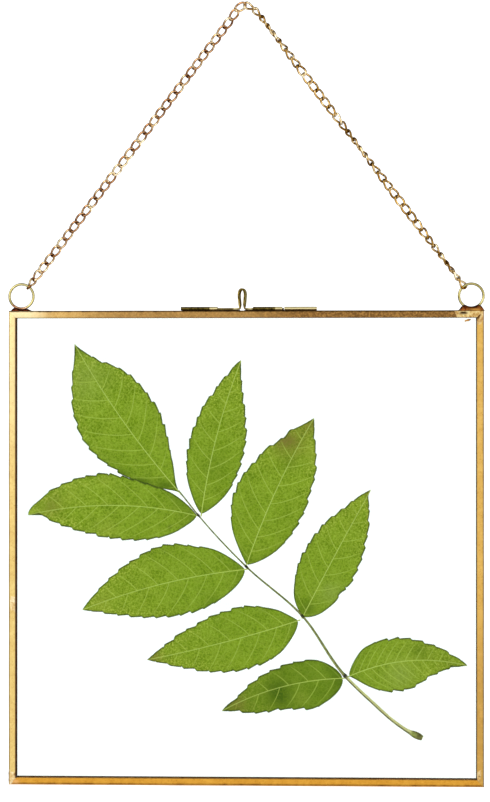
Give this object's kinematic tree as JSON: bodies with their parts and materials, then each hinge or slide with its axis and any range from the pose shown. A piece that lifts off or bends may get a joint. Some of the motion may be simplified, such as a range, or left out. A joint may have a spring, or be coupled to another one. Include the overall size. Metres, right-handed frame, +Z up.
{
  "type": "pressed leaf frame",
  "caption": "Square hanging display frame: mitred brass rails hold glass panes over a pressed pinnate leaf, with a sliding loop latch on top and a chain slung between soldered rings.",
  "frame": {"origin": "top joint of the chain, where a hook or nail carries the frame", "axes": "+Z up, front faces -Y, +X to the right as seen from the front"},
  "size_m": [0.2008, 0.0065, 0.3308],
  "materials": {
    "rail_brass": "rolled brass channel, brushed and unevenly aged",
    "latch_brass": "brass strip, darkened by soldering heat",
    "hinge_brass": "drawn brass tube and wire",
    "chain_brass": "curb chain of drawn wire, lightly tarnished",
    "ring_brass": "bright greenish-yellow brass wire",
    "solder": "brown brazed seat",
    "pane_glass": "clear float glass",
    "leaf_blade": "pressed dried leaf, matt",
    "leaf_stalk": "pressed dried leaf stalk"
  },
  "bodies": {
    "front_half": {"front_rail_top": "rail_brass", "front_rail_bottom": "rail_brass", "front_rail_left": "rail_brass", "front_rail_right": "rail_brass", "front_glass": "pane_glass", "chain_left": "chain_brass", "ring_left": "ring_brass", "ring_solder_left": "solder", "hinge_left_knuckle_outer": "hinge_brass", "hinge_left_knuckle_inner": "hinge_brass", "hinge_left_pin": "hinge_brass", "sleeve_left": "latch_brass", "chain_right": "chain_brass", "ring_right": "ring_brass", "ring_solder_right": "solder", "hinge_right_knuckle_outer": "hinge_brass", "hinge_right_knuckle_inner": "hinge_brass", "hinge_right_pin": "hinge_brass", "sleeve_right": "latch_brass", "leaf_stalk": "leaf_stalk", "leaflet_end": "leaf_blade", "leaflet_1_left": "leaf_blade", "leaflet_1_right": "leaf_blade", "leaflet_2_left": "leaf_blade", "leaflet_2_right": "leaf_blade", "leaflet_3_left": "leaf_blade", "leaflet_3_right": "leaf_blade", "leaflet_4_left": "leaf_blade", "leaflet_4_right": "leaf_blade"},
    "back_half": {"back_rail_top": "rail_brass", "back_rail_bottom": "rail_brass", "back_rail_left": "rail_brass", "back_rail_right": "rail_brass", "back_glass": "pane_glass", "keeper_sleeve": "latch_brass", "hinge_left_knuckle_middle": "hinge_brass", "hinge_right_knuckle_middle": "hinge_brass"},
    "bolt": {"latch_bolt": "latch_brass"}
  },
  "joints": [
    {"name": "back_half_hinge", "type": "hinge", "parent": "front_half", "child": "back_half", "pos_m": [0.0003, 0, -0.3286], "axis": [-1, 0, 0], "range_deg": [0, 140]},
    {"name": "bolt_slide", "type": "slide", "parent": "front_half", "child": "bolt", "axis": [-1, 0, 0], "range_m": [-0.0022, 0.008]}
  ]
}
